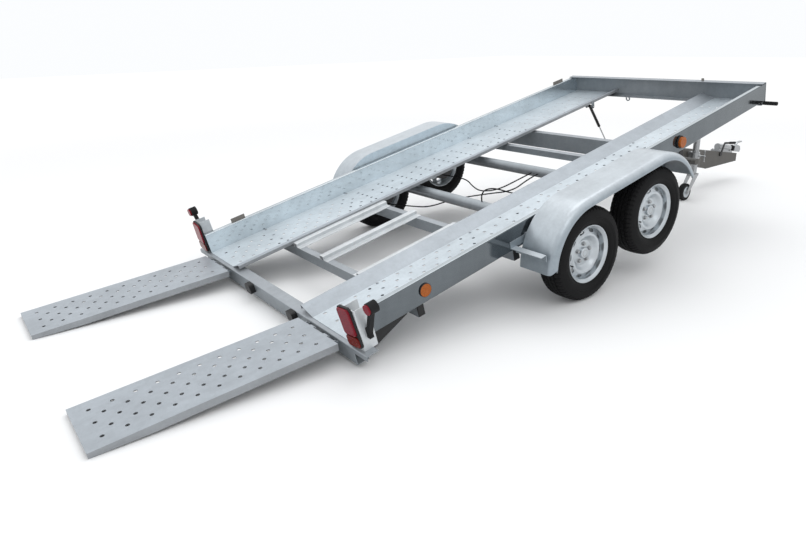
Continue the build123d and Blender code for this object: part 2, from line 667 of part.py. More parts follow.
# Marker lamps on rubber arms at the outer sides of the lamp brackets
MARKER_FOOT_Z = 530
MARKER_HEAD_Z = 702
MARKER_REACH = 100
MARKER_RADIUS = 30
MARKER_LENGTH = 46
MARKER_BASE = 56
ARM_BREADTH = 24
marker_rear = lamp_front + 24
foot_y = BRACKET_OUTER + ARM_BREADTH / 2
with BuildPart() as marker_arms:
    for side in SIDES.values():
        with BuildSketch(on_bed(Plane.YZ.offset(marker_rear + 10))):
            with BuildLine():
                Line((side * foot_y, MARKER_FOOT_Z), (side * (BRACKET_OUTER + MARKER_REACH), MARKER_HEAD_Z))
            trace(line_width=ARM_BREADTH)
            with Locations((side * foot_y, MARKER_FOOT_Z)):
                Rectangle(ARM_BREADTH, MARKER_BASE)
        extrude(amount=ARM_BREADTH)
        with BuildSketch(on_bed(Plane.YZ.offset(marker_rear))):
            with Locations((side * (BRACKET_OUTER + MARKER_REACH), MARKER_HEAD_Z)):
                Circle(MARKER_RADIUS)
        extrude(amount=MARKER_LENGTH)
keep(marker_arms, "marker_arms")

with BuildPart() as marker_lenses:
    for side in SIDES.values():
        with BuildSketch(on_bed(Plane.YZ.offset(marker_rear))):
            with Locations((side * (BRACKET_OUTER + MARKER_REACH), MARKER_HEAD_Z)):
                Circle(MARKER_RADIUS - 4)
        extrude(amount=-LENS_DEPTH)
keep(marker_lenses, "marker_lenses")

# Side reflectors and side lamps: name, x, diameter, thickness
SIDE_LAMPS = [
    ("side_reflectors", -1370, 72, 8),
    ("side_lamps", 990, 76, 30),
]
for name, lamp_x, diameter, thickness in SIDE_LAMPS:
    with BuildPart() as side_lamps:
        for side in SIDES.values():
            with BuildSketch(on_bed(Plane.XZ.offset(-side * rail_face))):
                with Locations((lamp_x, (RAIL_TOP + FLOOR_Z) / 2)):
                    Circle(diameter / 2)
            extrude(amount=-side * thickness)
    keep(side_lamps, name)

# Tilting drawbar: two arms, a nose and a cross tube
hinge = bed_point(HINGE_X, 0, HINGE_Z)
top_slope = (NOSE_TOP - hinge[2] - ARM_REAR_DEPTH / 2) / (NOSE_TIP - hinge[0])
arm_run = NOSE_START + 60 - hinge[0]
arm_turn = atan2(HINGE_Y - NOSE_HALF + ARM_WIDTH / 2, arm_run)
arm_stretch = 1 / cos(arm_turn)


def drawbar_top(x):
    """Height of the drawbar's top edge."""
    return hinge[2] + ARM_REAR_DEPTH / 2 + top_slope * (x - hinge[0])


STRUT_Y = 460
STRUT_LOW_X = 1982
STRUT_LOW_Z = 525
CROSS_RADIUS = 28
cross_z = STRUT_LOW_Z - 62
arm_end_x = NOSE_START + 60
arm_low_end = KNEE_Z + (KNEE_X - arm_end_x) * ARM_LOW_SLOPE
with BuildPart() as drawbar:
    for side in SIDES.values():
        arm_plane = Plane(
            origin=(hinge[0], side * HINGE_Y, 0),
            x_dir=(cos(arm_turn), -side * sin(arm_turn), 0),
            z_dir=(-side * sin(arm_turn), -cos(arm_turn), 0),
        )
        with BuildSketch(arm_plane):
            with BuildLine():
                Polyline(
                    (0, drawbar_top(hinge[0])), (arm_run * arm_stretch, drawbar_top(arm_end_x)),
                    (arm_run * arm_stretch, arm_low_end), (0, hinge[2] - ARM_REAR_DEPTH / 2),
                    close=True,
                )
            make_face()
        extrude(amount=ARM_WIDTH / 2, both=True)
        with BuildSketch(arm_plane):
            with BuildLine():
                Polyline(
                    (ARM_REAR_DEPTH, drawbar_top(hinge[0] + ARM_REAR_DEPTH) - ARM_WALL),
                    (arm_run * arm_stretch, drawbar_top(arm_end_x) - ARM_WALL),
                    (arm_run * arm_stretch, arm_low_end + ARM_WALL),
                    (ARM_REAR_DEPTH, hinge[2] - ARM_REAR_DEPTH / 2 + ARM_WALL),
                    close=True,
                )
            make_face()
        extrude(amount=ARM_WIDTH / 2 - ARM_WALL, both=True, mode=Mode.SUBTRACT)
        with BuildSketch(Plane.XZ.offset(-side * HINGE_Y)):
            with Locations((hinge[0], hinge[2])):
                Circle(ARM_REAR_DEPTH / 2)
        extrude(amount=ARM_WIDTH / 2, both=True)
    with BuildSketch(Plane.XZ):
        with BuildLine():
            Polyline(
                (NOSE_START, drawbar_top(NOSE_START)), (NOSE_TIP, NOSE_TOP), (NOSE_TIP, NOSE_LOW),
                (KNEE_X, KNEE_Z), (NOSE_START, KNEE_Z + (KNEE_X - NOSE_START) * ARM_LOW_SLOPE),
                close=True,
            )
        make_face()
    extrude(amount=NOSE_HALF, both=True)
    with BuildSketch(Plane.XZ):
        with BuildLine():
            Polyline(
                (arm_end_x + ARM_WIDTH, drawbar_top(arm_end_x + ARM_WIDTH) - ARM_WALL),
                (NOSE_TIP - ARM_WALL, drawbar_top(NOSE_TIP - ARM_WALL) - ARM_WALL),
                (NOSE_TIP - ARM_WALL, 0), (arm_end_x + ARM_WIDTH, 0),
                close=True,
            )
        make_face()
    extrude(amount=NOSE_HALF - ARM_WALL, both=True, mode=Mode.SUBTRACT)
    with BuildSketch(Plane.XZ):
        with Locations((STRUT_LOW_X, cross_z)):
            Circle(CROSS_RADIUS)
    extrude(amount=STRUT_Y + 40, both=True)
    for cheek in (-1, 1):
        with BuildSketch(Plane.XZ.offset(-STRUT_Y - cheek * 14)):
            with Locations((STRUT_LOW_X, STRUT_LOW_Z)):
                Circle(24)
            with Locations((STRUT_LOW_X, (STRUT_LOW_Z + cross_z) / 2)):
                Rectangle(48, STRUT_LOW_Z - cross_z)
        extrude(amount=-cheek * 6)
    for side in SIDES.values():
        with BuildSketch(Plane.XZ.offset(-side * HINGE_Y)):
            with Locations((hinge[0], hinge[2])):
                Circle(PIN_RADIUS + PIN_GAP)
        extrude(amount=2 * ARM_WIDTH, both=True, mode=Mode.SUBTRACT)
keep(drawbar, "drawbar")

# Overrun housing, bellows and coupling head on the nose
nose_lean = degrees(atan2(-top_slope, 1))
nose_frame = Location((NOSE_TIP, 0, NOSE_TOP), (0, nose_lean, 0))


def on_nose(plane):
    """A plane of the drawbar's nose, which slopes with its top edge."""
    return Plane(nose_frame * plane.location)


SHAFT_Z = 48
with BuildPart() as overrun_housing:
    with BuildSketch(on_nose(Plane.XY)):
        with Locations((-220, 0)):
            RectangleRounded(300, 96, 10)
    extrude(amount=14)
    with BuildSketch(on_nose(Plane.YZ.offset(-330))):
        with Locations((0, SHAFT_Z)):
            Circle(34)
        with Locations((0, SHAFT_Z / 2)):
            Rectangle(56, SHAFT_Z)
    extrude(amount=250)
keep(overrun_housing, "overrun_housing")

with BuildPart() as bellows:
    with BuildSketch(on_nose(Plane.XY.offset(SHAFT_Z))):
        with BuildLine():
            fold = 12
            Polyline(
                (-80, 0), (-80, 30),
                *[(-80 + fold * (i + 0.5), 33 if i % 2 else 24) for i in range(6)],
                (-8, 30), (-8, 0),
                close=True,
            )
        make_face()
    revolve(axis=Axis(on_nose(Plane.XY.offset(SHAFT_Z)).origin, on_nose(Plane.XY).x_dir))
keep(bellows, "bellows")

with BuildPart() as coupling:
    with BuildSketch(on_nose(Plane.XZ)):
        with BuildLine():
            Polyline(
                (-8, SHAFT_Z - 26), (40, SHAFT_Z - 34), (112, SHAFT_Z - 34), (126, SHAFT_Z - 6),
                (104, SHAFT_Z + 30), (56, SHAFT_Z + 38), (-8, SHAFT_Z + 26),
                close=True,
            )
        make_face()
    extrude(amount=34, both=True)
    with BuildSketch(on_nose(Plane.XY.offset(SHAFT_Z - 40))):
        with Locations((82, 0)):
            Circle(25.5)
    extrude(amount=44, mode=Mode.SUBTRACT)
    with BuildSketch(on_nose(Plane.XZ)):
        with BuildLine():
            FilletPolyline((60, SHAFT_Z + 36), (84, SHAFT_Z + 66), (170, SHAFT_Z + 82), radius=14)
        trace(line_width=14)
    extrude(amount=13, both=True)
keep(coupling, "coupling")

with BuildPart() as handbrake:
    with BuildSketch(on_nose(Plane.XZ.offset(NOSE_HALF))):
        with BuildLine():
            FilletPolyline((-360, -24), (-320, SHAFT_Z + 44), (-110, SHAFT_Z + 58), radius=20)
        trace(line_width=20)
        with Locations((-360, -24)):
            Circle(22)
    extrude(amount=10)
keep(handbrake, "handbrake")

# Jockey wheel: outer tube with clamp and crank, fork that swivels in it, and its wheel
fork_top = 250
clamp_y = -HINGE_Y + (JOCKEY_X - hinge[0]) * tan(arm_turn) - ARM_WIDTH / 2 * arm_stretch
with BuildPart() as jockey_tube:
    with BuildSketch(Plane.XY.offset(fork_top)):
        with Locations((JOCKEY_X, JOCKEY_Y)):
            Circle(JOCKEY_TUBE_RADIUS)
    extrude(amount=JOCKEY_TOP - fork_top)
    clamp_z = drawbar_top(JOCKEY_X) - 50
    with BuildSketch(Plane.XY.offset(clamp_z - 30)):
        with Locations((JOCKEY_X, JOCKEY_Y)):
            Circle(JOCKEY_TUBE_RADIUS + 10)
        with Locations((JOCKEY_X, (JOCKEY_Y + clamp_y) / 2 + 10)):
            Rectangle(64, clamp_y - JOCKEY_Y + 20)
    extrude(amount=60)
    with BuildSketch(Plane.XY.offset(fork_top)):
        with Locations((JOCKEY_X, JOCKEY_Y)):
            Circle(JOCKEY_TUBE_RADIUS - 5)
    extrude(amount=JOCKEY_TOP - fork_top - 10, mode=Mode.SUBTRACT)
    with BuildSketch(Plane.XZ.offset(-JOCKEY_Y)):
        with BuildLine():
            FilletPolyline(
                (JOCKEY_X, JOCKEY_TOP - 5), (JOCKEY_X, JOCKEY_TOP + 40), (JOCKEY_X + 110, JOCKEY_TOP + 52),
                radius=12,
            )
        trace(line_width=12)
    extrude(amount=6, both=True)
    with BuildSketch(Plane.XY.offset(JOCKEY_TOP + 52)):
        with Locations((JOCKEY_X + 110, JOCKEY_Y)):
            Circle(12)
    extrude(amount=70)
    arm_face = Plane((JOCKEY_X, clamp_y, 0), z_dir=(sin(arm_turn), -cos(arm_turn), 0))
    split(bisect_by=arm_face, keep=Keep.TOP)
keep(jockey_tube, "jockey_tube")

fork_half = JOCKEY_WIDTH / 2 + RUN_GAP
with BuildPart() as jockey_fork:
    with BuildSketch(Plane.XY.offset(fork_top - 14)):
        with Locations((JOCKEY_X, JOCKEY_Y)):
            Circle(JOCKEY_TUBE_RADIUS - 5 - PIN_GAP)
    extrude(amount=180)
    with BuildSketch(Plane.XY.offset(fork_top - 26)):
        with Locations((JOCKEY_X, JOCKEY_Y)):
            RectangleRounded(90, 2 * fork_half + 10, 10)
    extrude(amount=20)
    for cheek in (-1, 1):
        with BuildSketch(Plane.XZ.offset(-JOCKEY_Y - cheek * fork_half)):
            with BuildLine():
                Polyline(
                    (JOCKEY_X - 42, fork_top - 8), (JOCKEY_X + 42, fork_top - 8),
                    (JOCKEY_X - JOCKEY_TRAIL + 20, JOCKEY_RADIUS - 14),
                    (JOCKEY_X - JOCKEY_TRAIL - 20, JOCKEY_RADIUS - 8),
                    close=True,
                )
            make_face()
            with Locations((JOCKEY_X - JOCKEY_TRAIL, JOCKEY_RADIUS)):
                Circle(20)
        extrude(amount=-cheek * 5)
    with BuildSketch(Plane.XZ.offset(-JOCKEY_Y)):
        with Locations((JOCKEY_X - JOCKEY_TRAIL, JOCKEY_RADIUS)):
            Circle(8)
    extrude(amount=fork_half + 8, both=True)
keep(jockey_fork, "jockey_fork")

with BuildPart() as jockey_wheel:
    with BuildSketch(Plane.XZ.offset(-JOCKEY_Y)):
        with Locations((JOCKEY_X - JOCKEY_TRAIL, JOCKEY_RADIUS)):
            Circle(JOCKEY_RADIUS)
            Circle(8 + PIN_GAP, mode=Mode.SUBTRACT)
    extrude(amount=JOCKEY_WIDTH / 2, both=True)
    fillet(jockey_wheel.edges().filter_by(GeomType.CIRCLE).sort_by(SortBy.RADIUS)[-2:], radius=12)
keep(jockey_wheel, "jockey_wheel")

# Damper strut between the left track and the drawbar
STRUT_HIGH_X = 1812
STRUT_HIGH_Z = 424
STRUT_TUBE_RADIUS = 13
STRUT_ROD_RADIUS = 6
STRUT_TUBE_LENGTH = 258
STRUT_ROD_LENGTH = 250
EYE_RADIUS = 15
PIN_STRUT = 7
EYE_HALF = 8
strut_high = bed_point(STRUT_HIGH_X, STRUT_Y, STRUT_HIGH_Z)
strut_run = (STRUT_LOW_X - strut_high[0], STRUT_LOW_Z - strut_high[2])
strut_length = hypot(*strut_run)
strut_plane = Plane(origin=strut_high, x_dir=(strut_run[0], 0, strut_run[1]), z_dir=(0, -1, 0))
strut_axis = Axis(strut_high, strut_plane.x_dir)
with BuildPart() as strut_tube:
    with BuildSketch(strut_plane):
        Circle(EYE_RADIUS)
    extrude(amount=EYE_HALF, both=True)
    with BuildSketch(strut_plane):
        with Locations((STRUT_TUBE_LENGTH / 2 + 5, STRUT_TUBE_RADIUS / 2)):
            Rectangle(STRUT_TUBE_LENGTH - 10, STRUT_TUBE_RADIUS)
    revolve(axis=strut_axis)
    with BuildSketch(strut_plane):
        Circle(PIN_STRUT + PIN_GAP)
    extrude(amount=2 * EYE_HALF, both=True, mode=Mode.SUBTRACT)
    with BuildSketch(strut_plane):
        with Locations((STRUT_TUBE_LENGTH / 2 + 20, (STRUT_ROD_RADIUS + PIN_GAP) / 2)):
            Rectangle(STRUT_TUBE_LENGTH, STRUT_ROD_RADIUS + PIN_GAP)
    revolve(axis=strut_axis, mode=Mode.SUBTRACT)
keep(strut_tube, "strut_tube")

with BuildPart() as strut_rod:
    with BuildSketch(strut_plane):
        with Locations((strut_length - STRUT_ROD_LENGTH / 2, STRUT_ROD_RADIUS / 2)):
            Rectangle(STRUT_ROD_LENGTH, STRUT_ROD_RADIUS)
    revolve(axis=strut_axis)
    with BuildSketch(strut_plane):
        with Locations((strut_length, 0)):
            Circle(EYE_RADIUS)
    extrude(amount=EYE_HALF, both=True)
keep(strut_rod, "strut_rod")

# Bracket of the strut on the inner edge of the left track: y of a cheek's inner side, thickness, top
lip_face = TRACK_INNER - SHEET / 2
STRUT_CHEEKS = [(lip_face, -5, 474), (2 * STRUT_Y - lip_face, 5, 446)]
with BuildPart() as strut_bracket:
    for cheek_y, thickness, cheek_top in STRUT_CHEEKS:
        with BuildSketch(on_bed(Plane.XZ.offset(-cheek_y))):
            with Locations((STRUT_HIGH_X, STRUT_HIGH_Z)):
                Circle(18)
            with Locations((STRUT_HIGH_X, (STRUT_HIGH_Z + cheek_top) / 2)):
                Rectangle(36, cheek_top - STRUT_HIGH_Z)
        extrude(amount=-thickness)
    with BuildSketch(on_bed(Plane.XZ.offset(-STRUT_Y))):
        with Locations((STRUT_HIGH_X, STRUT_HIGH_Z)):
            Circle(PIN_STRUT)
    extrude(amount=STRUT_Y - lip_face + 3, both=True)
keep(strut_bracket, "strut_bracket")

# Ramps
bar = bed_point(bar_x, 0, bar_z)
tip_reach = hypot(RAMP_LENGTH, RAMP_TOP - RAMP_TIP)
ramp_slope = degrees(atan2(RAMP_TOP - RAMP_TIP, RAMP_LENGTH) + asin(bar[2] / tip_reach))
ramp_frame = Location(bar, (0, -ramp_slope, 0))


def on_ramp(plane):
    """A plane of a ramp: x along it from the bar it hooks on, z up from the bar."""
    return Plane(ramp_frame * plane.location)


RAMP_FRONT = 12
HOOK_WIDTH = 40
for side_name, side in SIDES.items():
    with BuildPart() as ramp:
        with BuildSketch(on_ramp(Plane.XY.offset(RAMP_TOP - RAMP_PLATE))):
            with Locations((-(RAMP_FRONT + RAMP_LENGTH) / 2, side * ramp_middle)):
                Rectangle(RAMP_LENGTH - RAMP_FRONT, RAMP_WIDTH)
                with GridLocations(HOLE_PITCH, 2 * HOLE_ROW_SPACING, 11, 3):
                    Circle(HOLE_RADIUS, mode=Mode.SUBTRACT)
                with GridLocations(HOLE_PITCH, 2 * HOLE_ROW_SPACING, 10, 2):
                    Circle(HOLE_RADIUS, mode=Mode.SUBTRACT)
        extrude(amount=RAMP_PLATE)
        for edge in (-1, 1):
            with BuildSketch(on_ramp(Plane.XZ.offset(-side * ramp_middle - edge * RAMP_WIDTH / 2))):
                with BuildLine():
                    Polyline(
                        (-RAMP_FRONT, RAMP_TOP), (-RAMP_FRONT, RAMP_TOP - RAMP_FLANGE),
                        (-RAMP_TAPER_START, RAMP_TOP - RAMP_FLANGE), (-RAMP_LENGTH, RAMP_TOP - RAMP_TIP),
                        (-RAMP_LENGTH, RAMP_TOP),
                        close=True,
                    )
                make_face()
            extrude(amount=edge * RAMP_PLATE)
        for hook_y in (-70, 70):
            with BuildSketch(on_ramp(Plane.XZ.offset(-side * ramp_middle - hook_y))):
                Circle(BAR_RADIUS + 6)
                with Locations((-RAMP_FRONT, BAR_RADIUS + 6)):
                    Rectangle(2 * RAMP_FRONT, 12)
                Circle(BAR_RADIUS + PIN_GAP, mode=Mode.SUBTRACT)
                with Locations((0, -BAR_RADIUS)):
                    Rectangle(2 * (BAR_RADIUS + PIN_GAP), 2 * BAR_RADIUS, mode=Mode.SUBTRACT)
            extrude(amount=HOOK_WIDTH / 2, both=True)
    keep(ramp, f"ramp_{side_name}")

# Tilt lock lever across the front crossbeam's right end
LEVER_X = BED_FRONT - 30
LEVER_START = 800
GRIP_START = TRACK_OUTER + 5
GRIP_LENGTH = 108
GRIP_RADIUS = 15
ROD_RADIUS = 8
channel_floor = front_low + BEAM_WALL
lever_z = (channel_floor + FLOOR_UNDER) / 2
with BuildPart() as lock_lever:
    with BuildSketch(on_bed(Plane.XZ.offset(LEVER_START))):
        with Locations((LEVER_X, lever_z)):
            Circle(ROD_RADIUS)
    extrude(amount=GRIP_START - LEVER_START)
    with BuildSketch(on_bed(Plane.XZ.offset(LEVER_START))):
        with Locations((LEVER_X, lever_z)):
            Rectangle(36, FLOOR_UNDER - channel_floor)
    extrude(amount=30)
keep(lock_lever, "lock_lever")

with BuildPart() as lever_grip:
    with BuildSketch(on_bed(Plane.XZ.offset(GRIP_START))):
        with Locations((LEVER_X, lever_z)):
            Circle(GRIP_RADIUS)
    extrude(amount=GRIP_LENGTH)
    fillet(lever_grip.edges().filter_by(GeomType.CIRCLE), radius=4)
keep(lever_grip, "lever_grip")

# All pieces, written with the origin on the floor under the middle of the trailer
rearmost = min(piece.bounding_box().min.X for piece in pieces)
foremost = max(piece.bounding_box().max.X for piece in pieces)
middle = Location((-(rearmost + foremost) / 2, 0, 0))
for piece in pieces:
    placed = piece.moved(middle)
    placed.label = piece.label
    export_step(placed, f"parts/{piece.label}.step")
print(f"middle of the length {(rearmost + foremost) / 2:.3f}")
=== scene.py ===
"""Looks of the car transport trailer: galvanised steel, tyres, cables, bolts, lamps and the studio."""

import json
import math

import bmesh
import bpy
from mathutils import Matrix, Vector


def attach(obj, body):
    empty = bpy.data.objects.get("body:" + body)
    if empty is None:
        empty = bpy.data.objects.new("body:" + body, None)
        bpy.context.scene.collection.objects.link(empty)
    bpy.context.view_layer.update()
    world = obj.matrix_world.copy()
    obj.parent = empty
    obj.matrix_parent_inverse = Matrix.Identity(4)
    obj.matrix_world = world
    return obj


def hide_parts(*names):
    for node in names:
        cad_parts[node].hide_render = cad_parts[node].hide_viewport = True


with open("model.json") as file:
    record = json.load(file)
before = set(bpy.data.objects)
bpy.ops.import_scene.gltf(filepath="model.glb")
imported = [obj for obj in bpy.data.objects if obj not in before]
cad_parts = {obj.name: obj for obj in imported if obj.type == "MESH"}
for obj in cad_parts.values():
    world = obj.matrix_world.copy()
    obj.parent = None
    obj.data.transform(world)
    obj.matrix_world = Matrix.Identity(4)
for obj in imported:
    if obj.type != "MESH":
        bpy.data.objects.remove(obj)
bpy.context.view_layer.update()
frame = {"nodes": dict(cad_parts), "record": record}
nodes = frame["nodes"]

# Places shared with the part, in metres
MID = 0.34548
TILT = math.radians(12.5)
HUBS = {"rear": -0.296, "front": 0.380}
HUB_Z = 0.267
WHEEL_Y = 1.092
TYRE_RADIUS = 0.295
FLOOR_TOP = 0.4415
RAIL_FACE = 0.9685
NOSE_TIP = 3.600
NOSE_TOP = 0.292
HINGE = (1.115, 0.345)
ARM_RISE = 0.035
LIFT = TYRE_RADIUS - HUBS["rear"] * math.sin(TILT) - HUB_Z * math.cos(TILT)
SIDES = {"left": 1, "right": -1}
BED = Matrix.Translation((-MID, 0, LIFT)) @ Matrix.Rotation(-TILT, 4, "Y")
hinge = BED @ Vector((HINGE[0], 0, HINGE[1]))
nose_lean = math.atan2(hinge.z + ARM_RISE - NOSE_TOP, NOSE_TIP - MID - hinge.x)
NOSE = Matrix.Translation((NOSE_TIP - MID, 0, NOSE_TOP)) @ Matrix.Rotation(nose_lean, 4, "Y")

# Camera
YAW, PITCH, ROLL = 0.9064, -0.3487, -0.0228
CAMERA_AT = (-3.6591, -3.3847, 1.5243)
forward = Vector((math.cos(PITCH) * math.cos(YAW), math.cos(PITCH) * math.sin(YAW), math.sin(PITCH)))
level_right = Vector((math.sin(YAW), -math.cos(YAW), 0))
level_up = level_right.cross(forward)
right = math.cos(ROLL) * level_right + math.sin(ROLL) * level_up
up = -math.sin(ROLL) * level_right + math.cos(ROLL) * level_up
camera_data = bpy.data.cameras.new("camera")
camera_data.lens = 28.137
camera_data.sensor_width = 36
camera_data.shift_x = -0.0317
camera_data.shift_y = -0.0110
camera = bpy.data.objects.new("camera", camera_data)
camera_turn = Matrix((right, up, -forward)).transposed().to_4x4()
camera.matrix_world = Matrix.Translation(CAMERA_AT) @ camera_turn
bpy.context.collection.objects.link(camera)
bpy.context.scene.camera = camera
bpy.context.scene.view_settings.view_transform = "Standard"


# Material building
def shader(name):
    """A new material, its node tree and its main shader."""
    mat = bpy.data.materials.new(name)
    mat.use_nodes = True
    tree = mat.node_tree
    return mat, tree, tree.nodes["Principled BSDF"]


def texture(tree, kind, scale, stretch=(1, 1, 1), **settings):
    """A procedural texture on object coordinates."""
    coords = tree.nodes.new("ShaderNodeTexCoord")
    mapping = tree.nodes.new("ShaderNodeMapping")
    mapping.inputs["Scale"].default_value = stretch
    tex = tree.nodes.new(kind)
    tex.inputs["Scale"].default_value = scale
    for key, value in settings.items():
        tex.inputs[key].default_value = value
    tree.links.new(coords.outputs["Object"], mapping.inputs["Vector"])
    tree.links.new(mapping.outputs["Vector"], tex.inputs["Vector"])
    return tex


def parts_of(tree, output):
    """The x, y and z of the object's own normal or place."""
    coords = tree.nodes.new("ShaderNodeTexCoord")
    split = tree.nodes.new("ShaderNodeSeparateXYZ")
    tree.links.new(coords.outputs[output], split.inputs[0])
    return split.outputs


def tones(tree, source, stops):
    """A colour ramp with a colour at each of several places."""
    node = tree.nodes.new("ShaderNodeValToRGB")
    elements = node.color_ramp.elements
    while len(elements) < len(stops):
        elements.new(0.5)
    for element, (place, colour) in zip(elements, stops):
        element.position = place
        element.color = (*colour, 1)
    tree.links.new(source, node.inputs["Fac"])
    return node.outputs["Color"]


def greys(tree, source, low, high, dark, light=1.0):
    """A ramp between two greys."""
    return tones(tree, source, [(low, (dark,) * 3), (high, (light,) * 3)])


def mix(tree, kind, factor, first, second):
    """Two colours mixed, the factor and the second colour each a constant or a socket."""
    node = tree.nodes.new("ShaderNodeMix")
    node.data_type = "RGBA"
    node.blend_type = kind
    if isinstance(factor, float):
        node.inputs[0].default_value = factor
    else:
        tree.links.new(factor, node.inputs[0])
    tree.links.new(first, node.inputs[6])
    if isinstance(second, tuple):
        node.inputs[7].default_value = (*second, 1)
    else:
        tree.links.new(second, node.inputs[7])
    return node.outputs[2]


def spread(tree, source, start, end, low, high):
    """A socket's range from start to end, spread from low to high."""
    node = tree.nodes.new("ShaderNodeMapRange")
    for key, value in zip(("From Min", "From Max", "To Min", "To Max"), (start, end, low, high)):
        node.inputs[key].default_value = value
    tree.links.new(source, node.inputs["Value"])
    return node.outputs["Result"]


def product(tree, first, second):
    """Two numbers multiplied."""
    node = tree.nodes.new("ShaderNodeMath")
    node.operation = "MULTIPLY"
    tree.links.new(first, node.inputs[0])
    tree.links.new(second, node.inputs[1])
    return node.outputs[0]


def bump(tree, bsdf, height, strength, distance):
    """Fine relief on a material."""
    node = tree.nodes.new("ShaderNodeBump")
    node.inputs["Strength"].default_value = strength
    node.inputs["Distance"].default_value = distance
    tree.links.new(height, node.inputs["Height"])
    tree.links.new(node.outputs["Normal"], bsdf.inputs["Normal"])


def galvanised(
    name, top, side, under, rough=0.42, metallic=0.35,
    outer_shade=None, inner_reflection=None, spangle=0.94, wave=0.10, painted_shade_beyond=None,
):
    """Galvanised steel with faint spangle and rolling lines, lighter on top and darker on its sides and
    underneath as painted shade; faces turned outward can take a painted shade, faces turned inward a painted
    reflection, and faces beyond a distance across the bed a black painted shade.
    """
    mat, tree, bsdf = shader(name)
    normal = parts_of(tree, "Normal")
    place = parts_of(tree, "Object")
    facing = spread(tree, normal["Z"], -1, 1, 0, 1)
    # Painted shade: faces turned up get the lit top tone, sides and undersides get darker tones
    colour = tones(tree, facing, [(0.05, under), (0.42, side), (0.60, side), (0.92, top)])
    # Painted shade on faces turned outward, painted reflection on faces turned inward
    outward = product(tree, normal["Y"], place["Y"])
    if outer_shade:
        colour = mix(tree, "MIX", spread(tree, outward, 0.25, 0.6, 0, 1), colour, outer_shade)
    if inner_reflection:
        colour = mix(tree, "MIX", spread(tree, outward, -0.25, -0.6, 0, 1), colour, inner_reflection)
    crystals = texture(tree, "ShaderNodeTexVoronoi", 75)
    grain = tree.nodes.new("ShaderNodeRGBToBW")
    tree.links.new(crystals.outputs["Color"], grain.inputs["Color"])
    cloud = texture(tree, "ShaderNodeTexNoise", 2.6, Detail=6, Roughness=0.62)
    lines = texture(tree, "ShaderNodeTexNoise", 30, stretch=(0.06, 1, 1), Detail=3)
    runs = texture(tree, "ShaderNodeTexNoise", 16, stretch=(1, 1, 0.12), Detail=4)
    for source, low, high, dark in (
        (grain.outputs["Val"], 0.1, 0.9, spangle), (cloud.outputs["Fac"], 0.3, 0.66, 0.84),
        (lines.outputs["Fac"], 0.35, 0.65, 0.95), (runs.outputs["Fac"], 0.36, 0.58, 0.94),
    ):
        colour = mix(tree, "MULTIPLY", 1.0, colour, greys(tree, source, low, high, dark))
    roughness = spread(tree, cloud.outputs["Fac"], 0, 1, rough - 0.05, rough + 0.07)
    # Painted shade: beyond this distance across the bed the colour turns black and not metallic, as the shade
    # seen through the rim's slots
    if painted_shade_beyond:
        distance = tree.nodes.new("ShaderNodeMath")
        distance.operation = "ABSOLUTE"
        tree.links.new(place["Y"], distance.inputs[0])
        shade_mask = spread(tree, distance.outputs[0], painted_shade_beyond, painted_shade_beyond + 0.002, 0, 1)
        colour = mix(tree, "MIX", shade_mask, colour, (0.012, 0.012, 0.013))
        metal = spread(tree, distance.outputs[0], painted_shade_beyond, painted_shade_beyond + 0.002, metallic, 0)
        tree.links.new(metal, bsdf.inputs["Metallic"])
    tree.links.new(colour, bsdf.inputs["Base Color"])
    tree.links.new(roughness, bsdf.inputs["Roughness"])
    bsdf.inputs["Metallic"].default_value = metallic
    bump(tree, bsdf, cloud.outputs["Fac"], wave, 0.006)
    return mat


def plain(name, colour, rough, metallic=0.0, grain=0.0, scale=400, gloss=0.5):
    """A material with a little change of tone and optional grain."""
    mat, tree, bsdf = shader(name)
    cloud = texture(tree, "ShaderNodeTexNoise", 9, Detail=5)
    dark = tuple(c * 0.8 for c in colour)
    tree.links.new(tones(tree, cloud.outputs["Fac"], [(0.3, dark), (0.7, colour)]), bsdf.inputs["Base Color"])
    bsdf.inputs["Metallic"].default_value = metallic
    bsdf.inputs["Specular IOR Level"].default_value = gloss
    roughness = spread(tree, cloud.outputs["Fac"], 0, 1, rough * 0.85, rough * 1.15)
    tree.links.new(roughness, bsdf.inputs["Roughness"])
    if grain:
        fine = texture(tree, "ShaderNodeTexNoise", scale, Detail=3)
        bump(tree, bsdf, fine.outputs["Fac"], grain, 0.001)
    return mat


def lens(name, colour):
    """A coloured lens with fine prisms behind its face."""
    mat, tree, bsdf = shader(name)
    prism = texture(tree, "ShaderNodeTexVoronoi", 170)
    dark = tuple(c * 0.5 for c in colour)
    shade = tones(tree, prism.outputs["Distance"], [(0.0, dark), (0.6, colour)])
    tree.links.new(shade, bsdf.inputs["Base Color"])
    bsdf.inputs["Roughness"].default_value = 0.22
    bsdf.inputs["Specular IOR Level"].default_value = 0.22
    bump(tree, bsdf, prism.outputs["Distance"], 0.12, 0.001)
    return mat


# Galvanised looks with painted light and shade: a lit top tone, then darker side and underside tones as painted
# shade
FLOOR = galvanised("track sheet", (0.66, 0.73, 0.78), (0.42, 0.48, 0.52), (0.22, 0.24, 0.26), 0.32, 0.3)
# Rail: side faces painted bright as a reflection, outer skirts painted dark as shade
RAIL = galvanised(
    "rail sheet", (0.58, 0.63, 0.66), (0.78, 0.85, 0.89), (0.16, 0.18, 0.19), 0.10, 0.92,
    outer_shade=(0.17, 0.19, 0.205), spangle=0.985, wave=0.02,
)
RAMP = galvanised("ramp sheet", (0.45, 0.49, 0.53), (0.34, 0.36, 0.38), (0.20, 0.21, 0.22))
